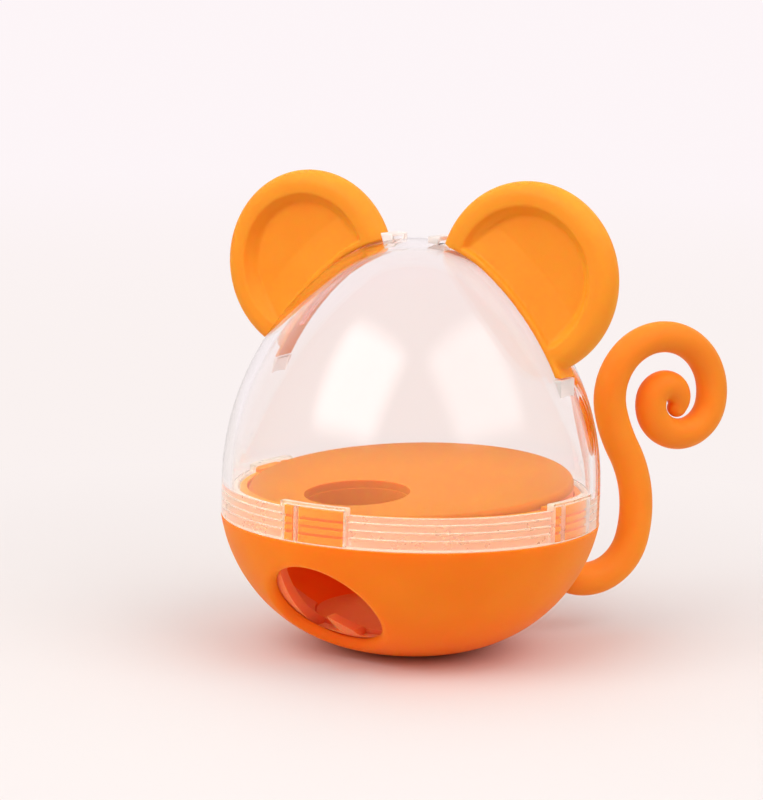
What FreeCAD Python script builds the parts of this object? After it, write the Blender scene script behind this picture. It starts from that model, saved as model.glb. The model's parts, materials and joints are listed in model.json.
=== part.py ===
import FreeCAD, Part
import math
import os

# A self-righting treat toy for cats, shaped as a mouse: a clear egg dome with two round
# ears over a bowl with a treat outlet, a sloping feed deck inside and a curly tail.
# Millimetres, +Z up. The origin is the middle of the flat foot under the bowl. The outlet
# faces nearly -Y, the right ear stands towards +X and the left ear towards -X.

# Outer form of the body: one round section from the foot to the crown
body_radius = 42.5
seam_height = 30.1
seam_lean = 9.7
belly_radius = 63.2
foot_cut = 0.55
dome_height = 62.5
dome_band = 7.2
crown_inset = 12.1

# Walls and clearances
bowl_wall = 2.4
dome_wall = 2.2
gate_wall = 2.0
running_gap = 0.4
seat_gap = 0.1
slide_gap = 0.3

# Treat outlet: a round hole square to the bowl's wall
outlet_azimuth = -94.8
outlet_radius = 12.9
outlet_height = 12.2
outlet_lip = 1.6

# Neck ring, which stands in the bowl's rim and carries four lugs
neck_inset = 4.2
neck_wall = 1.5
neck_rise = 6.7
flange_inset = 2.5
flange_thickness = 2.0
shelf_width = 2.0
shelf_edge = 0.8
lug_count = 4
lug_azimuth = -92.0
lug_width = 14.2
lug_reach = 1.6
lug_rise = 7.5
lug_slot = 1.6
lug_slot_depth = 1.1
lug_slot_place = -4.2
lug_groove_width = 0.6
lug_groove_depth = 0.3

# Ribbed collar inside the dome's lower edge, with a framed pocket for each lug
collar_gap = 0.4
collar_rise = 7.0
groove_count = 4
groove_pitch = 1.65
groove_width = 0.45
groove_depth = 0.7
frame_width = 0.7
guide_width = 0.8

# Feed deck: a plate that slopes down towards its feed hole
deck_lift = 8.8
deck_slope = 4.4
deck_azimuth = -102.0
deck_thickness = 1.8
deck_edge_round = 1.2
feed_radius = 11.6
feed_offset = 18.0
chute_wall = 1.4
chute_depth = 5.0
spigot_wall = 1.4
spigot_depth = 2.6
deck_rib_count = 5
deck_rib_width = 1.2
deck_rib_depth = 2.2
hub_radius = 4.0

# Outlet gate: a ring with an apron that turns inside the bowl behind the outlet
gate_ring_drop = 5.3
apron_half_angle = 68.0
apron_drop = 5.8
window_left = -9.7
window_right = 14.6
window_rise = 12.4
window_slot_right = -1.2
window_step = 2.9
slot_drop = 4.9
sill_left_drop = 0.1
sill_middle_drop = 3.2
sill_right_drop = 5.0
gate_turn = 40.0
bead_count = 3
bead_azimuth = 90.0
bead_angle = 14.0
bead_reach = 1.1
bead_height = 0.9
stop_width = 1.6
stop_drop = 6.3

# Ballast in the bottom of the bowl, under a coned cover held by screws
ballast_edge_inset = 23.9
cover_overhang = 2.0
cover_edge_drop = 4.1
cover_rise = 2.3
cover_thickness = 1.5
screw_count = 2
screw_azimuth = -60.0
screw_circle = 11.0
screw_radius = 1.3
screw_length = 7.0
head_radius = 2.4
head_height = 1.3
recess_radius = 0.9
recess_depth = 0.8
boss_radius = 2.7
screw_fit = 0.05

# Ears: round discs with a dished front, each pushed over a fin on the dome
ear_radius = 21.2
ear_thickness = 7.0
ear_inset = 15.0
ear_drop = 7.3
ear_pull_angle = 45.0
dish_radius = 16.4
dish_slope = 2.0
dish_depth = 2.3
dish_foot = 1.5
fin_thickness = 2.0
fin_height = 2.4
fin_half_length = 12.0
ear_heel_height = 64.7
ear_heel_depth = 1.7
crown_block_start = 4.4
crown_block_rise = 0.9
cheek_block_reach = 37.9

# Tail: a round silicone rod from its plug up into a curl
tail_azimuth = 53.5
tail_radius = 3.65
tail_root_drop = 14.1
tail_dip = 34.0
tail_root_run = 2.75
heel_bend_radius = 12.2
rise_bend_radius = 27.7
sway_bend_radius = 35.9
crest_bend_radius = 13.7
curl_bend_radius = 13.85
inner_bend_radius = 8.5
tip_bend_radius = 5.0
tail_bends = [(heel_bend_radius, 110.0), (rise_bend_radius, 44.6), (sway_bend_radius, -16.4),
              (crest_bend_radius, -95.2), (curl_bend_radius, -107.9), (inner_bend_radius, -120.0),
              (tip_bend_radius, -134.0)]
plug_radius = 3.0
plug_length = 8.5
socket_wall = 1.6
socket_end = 1.2
plug_gap = 0.1

# Places that follow from the sizes above
dome_top = seam_height + dome_height
band_top = seam_height + dome_band
crown_radius = body_radius - crown_inset
neck_radius = body_radius - neck_inset
neck_bore = neck_radius - neck_wall
neck_top = seam_height + neck_rise
flange_radius = body_radius - flange_inset
flange_top = seam_height - seat_gap
flange_low = flange_top - flange_thickness
shelf_top = flange_low - seat_gap
lug_radius = neck_radius + lug_reach
lug_top = seam_height + lug_rise
collar_top = seam_height + collar_rise
deck_height = seam_height + deck_lift
gate_radius = neck_bore - slide_gap
gate_ring_low = seam_height - gate_ring_drop
apron_low = outlet_height - apron_drop
window_high = outlet_height + window_rise
stop_low = seam_height - stop_drop
ballast_radius = body_radius - ballast_edge_inset
ballast_inset = bowl_wall + seat_gap
cover_radius = ballast_radius + cover_overhang
cover_edge_top = outlet_height - cover_edge_drop
ear_reach = body_radius - ear_inset
ear_height = dome_top - ear_drop
tail_root_height = seam_height - tail_root_drop

origin = FreeCAD.Vector(0, 0, 0)
axis_x = FreeCAD.Vector(1, 0, 0)
axis_y = FreeCAD.Vector(0, 1, 0)
axis_z = FreeCAD.Vector(0, 0, 1)
overlap = 0.6
far = 200.0


def at(across, up):
    """A point of a section drawn in the XZ plane."""
    return FreeCAD.Vector(across, 0, up)


def straight(start, end):
    return Part.LineSegment(start, end).toShape()


def bend(centre, radius, start, end):
    """An arc in the XZ plane about (across, up), from one angle to another in radians."""
    spots = []
    for angle in (start, (start + end) / 2, end):
        spots.append(at(centre[0] + radius * math.cos(angle), centre[1] + radius * math.sin(angle)))
    return Part.Arc(*spots).toShape()


def outline(*corners):
    """A closed face with straight sides in the XZ plane."""
    spots = [at(across, up) for across, up in corners]
    return Part.Face(Part.makePolygon(spots + [spots[0]]))


def spun(face):
    return face.revolve(origin, axis_z, 360)


def tube(inner, outer, low, high):
    return spun(outline((inner, low), (outer, low), (outer, high), (inner, high)))


def rod(radius, low, high):
    return Part.makeCylinder(radius, high - low, FreeCAD.Vector(0, 0, low))


def block(left, right, front, back, low, high):
    return Part.makeBox(right - left, back - front, high - low, FreeCAD.Vector(left, front, low))


def turned(shape, degrees):
    copy = shape.copy()
    copy.rotate(origin, axis_z, degrees)
    return copy


def along(azimuth, reach, up=0.0):
    """A point at a reach from the axis in a direction seen from above."""
    angle = math.radians(azimuth)
    return FreeCAD.Vector(reach * math.cos(angle), reach * math.sin(angle), up)


def wedge(middle, half_angle, radius, low, high):
    """A pie slice about the axis, for cutting or keeping a sector."""
    slice_ = Part.makeCylinder(radius, high - low, FreeCAD.Vector(0, 0, low), axis_z, 2 * half_angle)
    return turned(slice_, middle - half_angle)


def fused(first, *others):
    return first.multiFuse(list(others)).removeSplitter()


# The bowl's section: an arc under the belly and a tighter one up the side, tangent to it
belly_centre = belly_radius - foot_cut
lean = math.radians(seam_lean)
side_in = (-math.cos(lean), math.sin(lean))
seam_from_belly = (body_radius, seam_height - belly_centre)
reach_squared = seam_from_belly[0] ** 2 + seam_from_belly[1] ** 2
reach_inward = seam_from_belly[0] * side_in[0] + seam_from_belly[1] * side_in[1]
side_radius = (belly_radius ** 2 - reach_squared) / (2 * (reach_inward + belly_radius))
side_centre = (body_radius + side_radius * side_in[0], seam_height + side_radius * side_in[1])
join_angle = math.atan2(side_centre[1] - belly_centre, side_centre[0])


def bowl_reach(up, inset=0.0):
    """Radius of the bowl's surface, or of a surface a distance inside it, at a height."""
    join_up = belly_centre + (belly_radius - inset) * math.sin(join_angle)
    if up < join_up:
        rise = belly_centre - up
        return math.sqrt(max((belly_radius - inset) ** 2 - rise ** 2, 0.0))
    rise = up - side_centre[1]
    return side_centre[0] + math.sqrt((side_radius - inset) ** 2 - rise ** 2)


def bowl_body(inset, low, high):
    """The solid inside the bowl's surface, or inside a parallel one, between two heights."""
    belly = belly_radius - inset
    side = side_radius - inset
    low = max(low, belly_centre - belly)
    join_up = belly_centre + belly * math.sin(join_angle)
    end = math.asin((high - side_centre[1]) / side)
    edges = []
    if bowl_reach(low, inset) > 0.001:
        edges.append(straight(at(0, low), at(bowl_reach(low, inset), low)))
    if low < join_up:
        edges.append(bend((0, belly_centre), belly, math.asin((low - belly_centre) / belly), join_angle))
        edges.append(bend(side_centre, side, join_angle, end))
    else:
        edges.append(bend(side_centre, side, math.asin((low - side_centre[1]) / side), end))
    edges.append(straight(at(bowl_reach(high, inset), high), at(0, high)))
    edges.append(straight(at(0, high), at(0, low)))
    return spun(Part.Face(Part.Wire(edges)))


# The dome's section: a straight band, a long side arc and the crown's arc, all tangent
crown_centre = (0.0, dome_top - crown_radius)
crown_drop = crown_centre[1] - band_top
flank_radius = (body_radius ** 2 + crown_drop ** 2 - crown_radius ** 2) / (2 * (body_radius - crown_radius))
flank_centre = (body_radius - flank_radius, band_top)
crown_angle = math.atan2(crown_drop, -flank_centre[0])


def dome_body(inset):
    """The solid inside the dome's surface; a negative inset grows it outwards."""
    side = body_radius - inset
    shoulder = bend(flank_centre, flank_radius - inset, 0.0, crown_angle)
    crown = bend(crown_centre, crown_radius - inset, crown_angle, math.pi / 2)
    edges = [straight(at(0, seam_height), at(side, seam_height)),
             straight(at(side, seam_height), at(side, band_top)), shoulder, crown,
             straight(at(0, dome_top - inset), at(0, seam_height))]
    return spun(Part.Face(Part.Wire(edges)))


def screw_places():
    places = []
    for number in range(screw_count):
        places.append(along(screw_azimuth + number * 360.0 / screw_count, screw_circle))
    return places


def tail_frame():
    """The tail's root point on the wall and its direction out of the wall."""
    dip = math.radians(tail_dip)
    root = along(tail_azimuth, bowl_reach(tail_root_height), tail_root_height)
    way = along(tail_azimuth, math.cos(dip), -math.sin(dip))
    return root, way


def outlet_frame():
    """The outlet's centre on the outer wall and its direction, square to the wall."""
    reach = bowl_reach(outlet_height)
    dip = math.atan2(outlet_height - side_centre[1], reach - side_centre[0])
    return along(outlet_azimuth, reach, outlet_height), along(outlet_azimuth, math.cos(dip), math.sin(dip))


def make_bowl():
    """The orange bowl: shell, shelf for the neck ring, stops, screw posts, outlet, tail socket."""
    shell = bowl_body(0, 0, seam_height)
    cavity = bowl_body(bowl_wall, 0, seam_height)
    shelf_in = flange_radius - shelf_width
    shelf = spun(outline((shelf_in, shelf_top), (shelf_in, shelf_top - shelf_edge),
                         (body_radius, shelf_top - shelf_edge - (body_radius - shelf_in)),
                         (body_radius, shelf_top)))
    stop_half = math.degrees(stop_width / 2 / flange_radius)
    stop_place = gate_turn + bead_angle / 2 + stop_half + math.degrees(seat_gap * 2 / flange_radius)
    stops = []
    for side in (-1, 1):
        stop = tube(neck_bore + slide_gap, body_radius, stop_low, shelf_top)
        stops.append(stop.common(wedge(bead_azimuth + side * stop_place, stop_half, far, 0, far)))
    posts = []
    for place in screw_places():
        post_top = cover_seat(screw_circle + boss_radius) - seat_gap
        posts.append(Part.makeCylinder(boss_radius, post_top, place))
    root, way = tail_frame()
    socket_length = plug_length + plug_gap + socket_end
    socket_radius = plug_radius + plug_gap + socket_wall
    socket = Part.makeCylinder(socket_radius, socket_length, root - way * socket_length, way)
    inside = bowl_body(overlap, 0, shelf_top)
    fittings = [piece.common(inside) for piece in [shelf, socket] + stops + posts]
    bowl = fused(shell.cut(cavity), *fittings)
    bowl = bowl.cut(rod(flange_radius + seat_gap, shelf_top, far))
    plug_depth = plug_length + plug_gap
    bowl = bowl.cut(Part.makeCylinder(plug_radius + plug_gap, far, root - way * plug_depth, way))
    for place in screw_places():
        hole_low = cover_seat(screw_circle) + cover_thickness - screw_length - seat_gap
        bowl = bowl.cut(Part.makeCylinder(screw_radius + screw_fit, far, place + axis_z * hole_low))
    centre, outward = outlet_frame()
    bowl = bowl.cut(Part.makeCylinder(outlet_radius, far, centre - outward * outlet_radius, outward))
    return bowl


def outlet_rims(shape, inset):
    """The edges where the outlet meets a surface a distance inside the bowl's outer one."""
    centre, outward = outlet_frame()
    rims = []
    for edge in shape.Edges:
        if edge.Degenerated:
            continue
        near_outlet = True
        on_surface = True
        for spot in edge.discretize(7):
            arm = spot - centre
            off_axis = (arm - outward * arm.dot(outward)).Length
            if abs(off_axis - outlet_radius) > 0.05:
                near_outlet = False
            if abs(math.hypot(spot.x, spot.y) - bowl_reach(spot.z, inset)) > 0.05:
                on_surface = False
        if near_outlet and on_surface:
            rims.append(edge)
    return rims


def cover_seat(reach):
    """Height of the cover's underside at a reach from the axis."""
    return cover_edge_top + cover_rise * (1 - reach / cover_radius) - cover_thickness


def make_neck_ring():
    """The ring that the dome keys onto: a flange in the bowl's rim, a neck and four lugs."""
    flange = tube(neck_bore, flange_radius, flange_low, flange_top)
    neck = tube(neck_bore, neck_radius, flange_low, neck_top)
    lugs = []
    slots = []
    for number in range(lug_count):
        azimuth = lug_azimuth + number * 360.0 / lug_count
        lug = tube(neck_bore, lug_radius, flange_low, lug_top)
        keep = block(0, far, -lug_width / 2, lug_width / 2, 0, far)
        lugs.append(turned(lug.common(keep), azimuth))
        slot = tube(lug_radius - lug_slot_depth, body_radius, flange_top, far)
        slot = slot.common(block(0, far, lug_slot_place - lug_slot / 2,
                                 lug_slot_place + lug_slot / 2, 0, far))
        slots.append(turned(slot, azimuth))
    for number in range(1, groove_count):
        middle = collar_top - number * groove_pitch
        slots.append(tube(lug_radius - lug_groove_depth, body_radius, middle - lug_groove_width / 2,
                          middle + lug_groove_width / 2))
    ring = fused(flange, neck, *lugs)
    for slot in slots:
        ring = ring.cut(slot)
    return ring.removeSplitter()


def make_dome():
    """The clear dome: shell, ribbed collar with framed lug pockets, ear fins and blocks."""
    low = seam_height + seat_gap
    shell = dome_body(0).cut(dome_body(dome_wall))
    wall_face = body_radius - dome_wall
    collar_in = neck_radius + collar_gap
    collar = tube(collar_in, wall_face + overlap, low, collar_top)
    grooves = []
    for number in range(1, groove_count):
        middle = collar_top - number * groove_pitch
        grooves.append(tube(collar_in - 1, collar_in + groove_depth, middle - groove_width / 2,
                            middle + groove_width / 2))
    collar = collar.cut(Part.makeCompound(grooves))
    pocket_top = lug_top + slide_gap
    half_pocket = lug_width / 2 + slide_gap
    half_frame = half_pocket + frame_width
    frames = []
    pockets = []
    guides = []
    for number in range(lug_count):
        azimuth = lug_azimuth + number * 360.0 / lug_count
        frame = tube(collar_in, wall_face + overlap, low, pocket_top + frame_width)
        frame = frame.common(block(0, far, -half_frame, half_frame, 0, far))
        frames.append(turned(frame, azimuth))
        pocket = tube(collar_in - 1, lug_radius + slide_gap, low - 1, pocket_top)
        pocket = pocket.common(block(0, far, -half_pocket, half_pocket, 0, far))
        pockets.append(turned(pocket, azimuth))
        guide = tube(lug_radius - lug_slot_depth + slide_gap, wall_face + overlap, low, pocket_top + overlap)
        guide = guide.common(block(0, far, lug_slot_place - guide_width / 2,
                                   lug_slot_place + guide_width / 2, 0, far))
        guides.append(turned(guide, azimuth))
    dome = fused(shell, collar, *frames)
    dome = dome.cut(Part.makeCompound(pockets))
    dome = dome.cut(rod(far, seam_height - 1, low))
    fittings = []
    for side in (0, 180):
        for piece in (ear_fin(0.0), crown_block(), cheek_block()):
            fittings.append(turned(piece.cut(dome_body(dome_wall / 2)), side))
    return fused(dome, *(guides + fittings))


def ear_zone(extra):
    """A round bar along Y on the right ear's centre."""
    start = FreeCAD.Vector(ear_reach, -far / 2, ear_height)
    return Part.makeCylinder(ear_radius + extra, far, start, axis_y)


def ear_fin(extra):
    """The fin that carries the right ear, or with extra clearance the ear's slot."""
    half = fin_thickness / 2 + extra
    length = fin_half_length + extra
    strip = block(-length, length, -half, half, -ear_radius, far / 2)
    strip.rotate(origin, axis_y, 90.0 - ear_pull_angle)
    strip.translate(FreeCAD.Vector(ear_reach, 0, ear_height))
    return dome_body(-fin_height - extra).common(strip)


def crown_block():
    """The small clear stop beside the ear's upper end, square on top for the mould's draw."""
    half = ear_thickness / 2
    piece = block(crown_block_start, ear_reach, -half, half, ear_height, dome_top + crown_block_rise)
    return piece.cut(ear_zone(slide_gap)).common(block(0, ear_reach / 2, -far, far, 0, far))


def cheek_block():
    """The clear stop under the ear's lower end, which runs out down the dome's side."""
    half = ear_thickness / 2
    return block(ear_reach, cheek_block_reach, -half, half, band_top, ear_heel_height - slide_gap)


def meet(first, first_radius, second, second_radius, upper):
    """Where two circles in the XZ plane cross; upper picks the higher crossing."""
    across = second[0] - first[0]
    up = second[1] - first[1]
    span = math.hypot(across, up)
    run = (first_radius ** 2 - second_radius ** 2 + span ** 2) / (2 * span)
    rise = math.sqrt(first_radius ** 2 - run ** 2)
    base = (first[0] + run * across / span, first[1] + run * up / span)
    spots = [(base[0] - rise * up / span, base[1] + rise * across / span),
             (base[0] + rise * up / span, base[1] - rise * across / span)]
    return max(spots, key=lambda spot: spot[1]) if upper else min(spots, key=lambda spot: spot[1])


def angle_of(spot, centre):
    return math.atan2(spot[1] - centre[1], spot[0] - centre[0])


def dish_wire(radius, foot, depth):
    """The dish's outline at one depth: a round rim closed by a line parallel to the dome."""
    centre = (ear_reach, ear_height)
    flank = flank_radius + foot
    bottom = meet(centre, radius, flank_centre, flank, False)
    flank_end = angle_of(bottom, flank_centre)
    top = meet(centre, radius, crown_centre, crown_radius + foot, True)
    if angle_of(top, crown_centre) > crown_angle:
        upper = bend(crown_centre, crown_radius + foot, angle_of(top, crown_centre), crown_angle)
        lower = bend(flank_centre, flank, crown_angle, flank_end)
    else:
        top = meet(centre, radius, flank_centre, flank, True)
        flank_start = angle_of(top, flank_centre)
        middle = (flank_start + flank_end) / 2
        upper = bend(flank_centre, flank, flank_start, middle)
        lower = bend(flank_centre, flank, middle, flank_end)
    rim = bend(centre, radius, angle_of(bottom, centre), angle_of(top, centre))
    wire = Part.Wire([rim, upper, lower])
    wire.translate(FreeCAD.Vector(0, depth - ear_thickness / 2, 0))
    return wire


def make_right_ear():
    """A round silicone ear with a full-round edge, a dished front and a slot in its foot."""
    half = ear_thickness / 2
    flat = ear_radius - half
    edges = [straight(at(0, -half), at(flat, -half)),
             bend((flat, 0), half, -math.pi / 2, math.pi / 2),
             straight(at(flat, half), at(0, half)), straight(at(0, half), at(0, -half))]
    disc = spun(Part.Face(Part.Wire(edges)))
    disc.rotate(origin, axis_x, 90)
    disc.translate(FreeCAD.Vector(ear_reach, 0, ear_height))
    above = dish_depth * 0.5
    spread = dish_slope * above / dish_depth
    mouth = dish_wire(dish_radius + spread, dish_foot - spread, -above)
    floor = dish_wire(dish_radius - dish_slope, dish_foot + dish_slope, dish_depth)
    dish = Part.makeLoft([mouth, floor], True, True)
    heel = block(ear_reach, far, -half, half, ear_heel_height, ear_height - ear_radius / 2)
    heel = dome_body(-ear_heel_depth).common(heel)
    ear = disc.fuse(heel).cut(dish)
    return ear.cut(dome_body(-slide_gap)).cut(ear_fin(slide_gap)).removeSplitter()


def deck_plane(up):
    """A large slab whose top face is the deck's sloping plane, moved up by a distance."""
    slab = block(-far, far, -far, far, -far, 0)
    slab.rotate(origin, axis_y, deck_slope)
    slab.rotate(origin, axis_z, deck_azimuth)
    slab.translate(FreeCAD.Vector(0, 0, deck_height + up))
    return slab


def deck_frame():
    """The feed hole's centre on the deck and the deck's upward direction."""
    slope = math.radians(deck_slope)
    centre = along(deck_azimuth, feed_offset * math.cos(slope), deck_height - feed_offset * math.sin(slope))
    return centre, along(deck_azimuth, math.sin(slope), math.cos(slope))


def make_feed_deck():
    """The sloping deck: plate with a soft edge, feed hole with a chute, spigot and ribs."""
    under = deck_plane(-deck_thickness)
    plate = rod(gate_radius, seam_height, far).common(deck_plane(0)).cut(under)
    top_edges = []
    for edge in plate.Edges:
        spots = edge.discretize(5)
        if all(spot.z > deck_rise(spot) - 0.01 for spot in spots) and edge.Length > gate_radius:
            top_edges.append(edge)
    plate = plate.makeFillet(deck_edge_round, top_edges)
    centre, up = deck_frame()
    bore_in = gate_radius - gate_wall - slide_gap
    spigot = tube(bore_in - spigot_wall, bore_in, seam_height, far)
    spigot = spigot.common(under).cut(deck_plane(-deck_thickness - spigot_depth))
    chute_start = centre - up * (deck_thickness + chute_depth)
    chute = Part.makeCone(feed_radius + chute_wall * 0.7, feed_radius + chute_wall,
                          deck_thickness / 2 + chute_depth, chute_start, up)
    rib_zone = rod(bore_in - spigot_wall / 2, seam_height, far).common(under)
    rib_zone = rib_zone.cut(deck_plane(-deck_thickness - deck_rib_depth))
    ribs = []
    for number in range(deck_rib_count):
        azimuth = deck_azimuth + (number + 1) * 360.0 / (deck_rib_count + 1)
        rib = block(0, far, -deck_rib_width / 2, deck_rib_width / 2, 0, far)
        ribs.append(turned(rib, azimuth).common(rib_zone))
    hub = rod(hub_radius, seam_height, far).common(rib_zone)
    deck = fused(plate, spigot, chute, hub, *ribs)
    bore = Part.makeCone(feed_radius * 0.94, feed_radius, chute_depth + deck_thickness + 2,
                         chute_start - up, up)
    deck = deck.cut(Part.makeCylinder(feed_radius, deck_thickness + 2, centre - up * deck_thickness, up))
    return deck.cut(bore).removeSplitter()


def deck_rise(spot):
    """Height of the deck's top plane over a point."""
    slope = math.tan(math.radians(deck_slope))
    way = along(deck_azimuth, 1.0)
    return deck_height - slope * (spot.x * way.x + spot.y * way.y)


def make_outlet_gate():
    """The turning ring under the deck, with an apron and its stepped window at the outlet."""
    outer_inset = bowl_wall + running_gap
    inner_inset = outer_inset + gate_wall
    stock = rod(gate_radius, apron_low, far).common(deck_plane(-deck_thickness))
    hollow = rod(gate_radius - gate_wall, 0, far)
    ring = stock.cut(hollow).common(rod(far, gate_ring_low, far))
    body = rod(gate_radius, apron_low, gate_ring_low + overlap)
    body = body.common(bowl_body(outer_inset, 0, seam_height - overlap))
    core = rod(gate_radius - gate_wall, 0, seam_height)
    core = core.common(bowl_body(inner_inset, 0, seam_height - overlap))
    core = core.fuse(rod(cover_radius + running_gap, 0, cover_edge_top + 1))
    apron = body.cut(core).common(wedge(outlet_azimuth, apron_half_angle, far, 0, far))
    beads = []
    bead_top = flange_low - slide_gap
    for number in range(bead_count):
        bead = spun(outline((gate_radius - overlap, bead_top - bead_height - bead_reach),
                            (gate_radius, bead_top - bead_height - bead_reach),
                            (gate_radius + bead_reach, bead_top - bead_height),
                            (gate_radius + bead_reach, bead_top), (gate_radius - overlap, bead_top)))
        azimuth = bead_azimuth + number * 360.0 / bead_count
        beads.append(bead.common(wedge(azimuth, bead_angle / 2, far, 0, far)))
    gate = fused(ring, apron, *beads)
    slot_sill = outlet_height - slot_drop
    right_sill = outlet_height - sill_right_drop
    window = outline((window_left, window_high), (window_left, slot_sill), (window_slot_right, slot_sill),
                     (window_slot_right, outlet_height - sill_left_drop),
                     (window_step, outlet_height - sill_middle_drop), (window_step, right_sill),
                     (window_right, right_sill), (window_right, window_high))
    return gate.cut(turned(window.extrude(axis_y * -far), outlet_azimuth + 90)).removeSplitter()


def make_ballast():
    """The steel weight, round below, coned above, with clearance holes for the posts."""
    top = cover_seat(0) - slide_gap
    edge_top = cover_seat(ballast_radius) - slide_gap
    turning = spun(outline((0, 0), (ballast_radius, 0), (ballast_radius, edge_top), (0, top)))
    slug = bowl_body(ballast_inset, 0, top).common(turning)
    for place in screw_places():
        slug = slug.cut(Part.makeCylinder(boss_radius + slide_gap, far, place))
    return slug


def make_ballast_cover():
    """The coned floor of the lower chamber, over the ballast, with a skirt at its edge."""
    peak = cover_edge_top + cover_rise
    skirt_low = cover_edge_top - cover_thickness
    cone = spun(outline((0, peak - cover_thickness), (cover_radius, skirt_low),
                        (cover_radius, cover_edge_top), (0, peak)))
    skirt = tube(ballast_radius + slide_gap, cover_radius, 0, cover_edge_top - cover_thickness / 2)
    skirt = skirt.common(bowl_body(bowl_wall + seat_gap, 0, cover_edge_top))
    cover = fused(cone, skirt)
    head_seat = cover_seat(screw_circle) + cover_thickness
    for place in screw_places():
        cover = cover.cut(Part.makeCylinder(screw_radius + screw_fit, far, place))
        cover = cover.cut(Part.makeCylinder(head_radius + slide_gap, far, place + axis_z * (head_seat - 0.4)))
    return cover


def make_cover_screws():
    """The cover's screws, all of one kind, in one group."""
    head_seat = cover_seat(screw_circle) + cover_thickness - 0.4
    screws = []
    for place in screw_places():
        shank_low = head_seat - screw_length + 0.4
        shank = Part.makeCylinder(screw_radius, head_seat - shank_low + overlap, place + axis_z * shank_low)
        head = Part.makeCylinder(head_radius, head_height, place + axis_z * head_seat)
        recess_low = head_seat + head_height - recess_depth
        recess = Part.makeCylinder(recess_radius, far, place + axis_z * recess_low)
        screws.append(fused(head, shank).cut(recess))
    return Part.makeCompound(screws)


def tail_path():
    """Each bend of the tail's centre line: centre, start point, start direction, turn, radius."""
    dip = math.radians(tail_dip)
    heading = -dip
    root = (bowl_reach(tail_root_height), tail_root_height)
    spot = (root[0] + tail_root_run * math.cos(heading), root[1] + tail_root_run * math.sin(heading))
    steps = []
    for radius, turn in tail_bends:
        hand = 1 if turn > 0 else -1
        centre = (spot[0] - hand * radius * math.sin(heading), spot[1] + hand * radius * math.cos(heading))
        steps.append((centre, spot, heading, turn, radius))
        heading += math.radians(turn)
        spot = (centre[0] + hand * radius * math.sin(heading), centre[1] - hand * radius * math.cos(heading))
    return steps, spot


def make_tail():
    """The curly tail: plug, straight root and a chain of round bends that ends in a dome."""
    steps, tip = tail_path()
    root_reach = bowl_reach(tail_root_height)
    heading = -math.radians(tail_dip)
    way = at(math.cos(heading), math.sin(heading))
    root = at(root_reach, tail_root_height)
    plug = Part.makeCylinder(plug_radius, plug_length + overlap, root - way * plug_length, way)
    stem = Part.makeCylinder(tail_radius, tail_root_run, root, way)
    pieces = [plug, stem]
    for centre, spot, direction, turn, radius in steps:
        normal = at(math.cos(direction), math.sin(direction))
        section = Part.Face(Part.Wire(Part.makeCircle(tail_radius, at(*spot), normal)))
        pieces.append(section.revolve(at(*centre), axis_y, -turn))
    pieces.append(Part.makeSphere(tail_radius, at(*tip)))
    tail = fused(*pieces)
    tail.rotate(origin, axis_z, tail_azimuth)
    return tail.cut(bowl_body(-slide_gap, 0, seam_height).cut(tail_plug_zone()))


def tail_plug_zone():
    """The bar round the plug that the clearance cut at the wall leaves alone."""
    root, way = tail_frame()
    return Part.makeCylinder(plug_radius + plug_gap / 2, far, root - way * far / 2, way)


def tail_clearance():
    """Least gap between stretches of the tail that are far apart along it."""
    spots = []
    steps, tip = tail_path()
    for centre, spot, direction, turn, radius in steps:
        hand = 1 if turn > 0 else -1
        pieces = max(2, int(abs(turn) / 6))
        for number in range(pieces):
            angle = direction + math.radians(turn) * number / pieces
            spots.append((centre[0] + hand * radius * math.sin(angle),
                          centre[1] - hand * radius * math.cos(angle)))
    spots.append(tip)
    run = [0.0]
    for first, second in zip(spots, spots[1:]):
        run.append(run[-1] + math.dist(first, second))
    least = far
    for i in range(len(spots)):
        for j in range(i):
            if run[i] - run[j] > 5 * tail_radius:
                least = min(least, math.dist(spots[i], spots[j]) - 2 * tail_radius)
    return least, run[-1]


def soften_outlet(bowl):
    """Round the outlet's outer lip."""
    return bowl.makeFillet(outlet_lip, outlet_rims(bowl, 0.0))


right_ear = make_right_ear()
left_ear = right_ear.mirror(origin, axis_x)
nodes = {
    "bowl": soften_outlet(make_bowl()),
    "neck_ring": make_neck_ring(),
    "ballast": make_ballast(),
    "ballast_cover": make_ballast_cover(),
    "cover_screws": make_cover_screws(),
    "outlet_gate": make_outlet_gate(),
    "feed_deck": make_feed_deck(),
    "dome": make_dome(),
    "right_ear": right_ear,
    "left_ear": left_ear,
    "tail": make_tail(),
}

os.makedirs("parts", exist_ok=True)
for name, shape in nodes.items():
    shape.exportStep("parts/" + name + ".step")
    box = shape.BoundBox
    print(name, "solids", len(shape.Solids), "valid", shape.isValid(), "volume", round(shape.Volume, 1),
          "box", [round(value, 1) for value in (box.XMin, box.XMax, box.YMin, box.YMax, box.ZMin, box.ZMax)])
gap, length = tail_clearance()
rod_length = tail_root_run + sum(radius * math.radians(abs(turn)) for radius, turn in tail_bends)
rod_volume = math.pi * tail_radius ** 2 * (rod_length + tail_radius * 2 / 3)
plug_volume = math.pi * plug_radius ** 2 * plug_length
print("tail: bend radii", [radius for radius, turn in tail_bends], "least gap to itself", round(gap, 2))
print("tail: length", round(rod_length, 1))
print("tail: section times length, with the plug", round(rod_volume + plug_volume, 1))
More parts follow.
